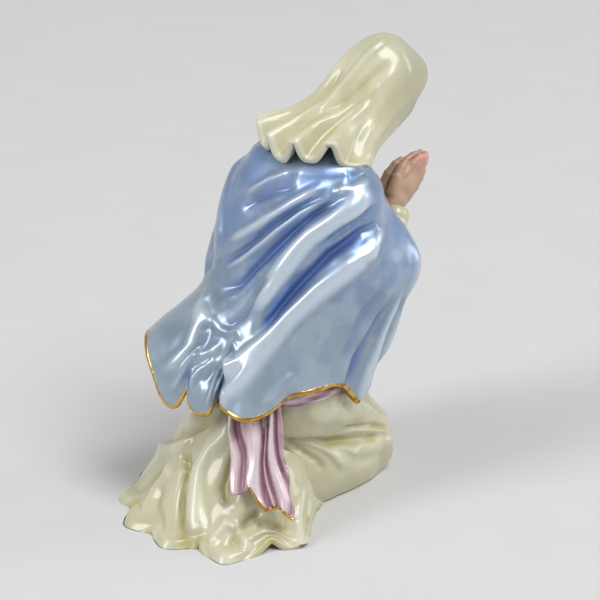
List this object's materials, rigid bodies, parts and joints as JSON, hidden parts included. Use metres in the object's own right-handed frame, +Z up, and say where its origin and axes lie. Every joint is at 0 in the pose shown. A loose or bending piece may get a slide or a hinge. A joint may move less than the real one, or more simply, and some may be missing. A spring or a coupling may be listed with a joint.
{
  "type": "kneeling madonna statue",
  "caption": "Glazed porcelain figure of a kneeling woman in prayer, with a veil, a wind-blown mantle, gilded hems and a spreading skirt that stands on a flat foot.",
  "frame": {"origin": "centre of the footprint's bounding box, on the table", "axes": "+Z up, the figure faces -Y, her left hand is on +X"},
  "size_m": [0.0995, 0.1586, 0.1899],
  "materials": {
    "ivory_glaze": "gloss",
    "blue_lustre": "pearl lustre over gloss",
    "rose_lustre": "pearl lustre over gloss",
    "painted_skin": "satin",
    "painted_hair": "satin",
    "bare_porcelain": "unglazed",
    "gilding": "bright fired gold"
  },
  "bodies": {
    "root": {"skirt": "ivory_glaze", "train": "ivory_glaze", "base_plate": "bare_porcelain", "bodice": "ivory_glaze", "hip_sash": "rose_lustre", "sash_tail": "rose_lustre", "sash_tail_gilt": "gilding", "mantle": "blue_lustre", "mantle_gilt": "gilding", "right_sleeve": "ivory_glaze", "left_sleeve": "ivory_glaze", "right_hand": "painted_skin", "left_hand": "painted_skin", "head": "painted_skin", "hair": "painted_hair", "veil": "ivory_glaze"}
  },
  "joints": []
}
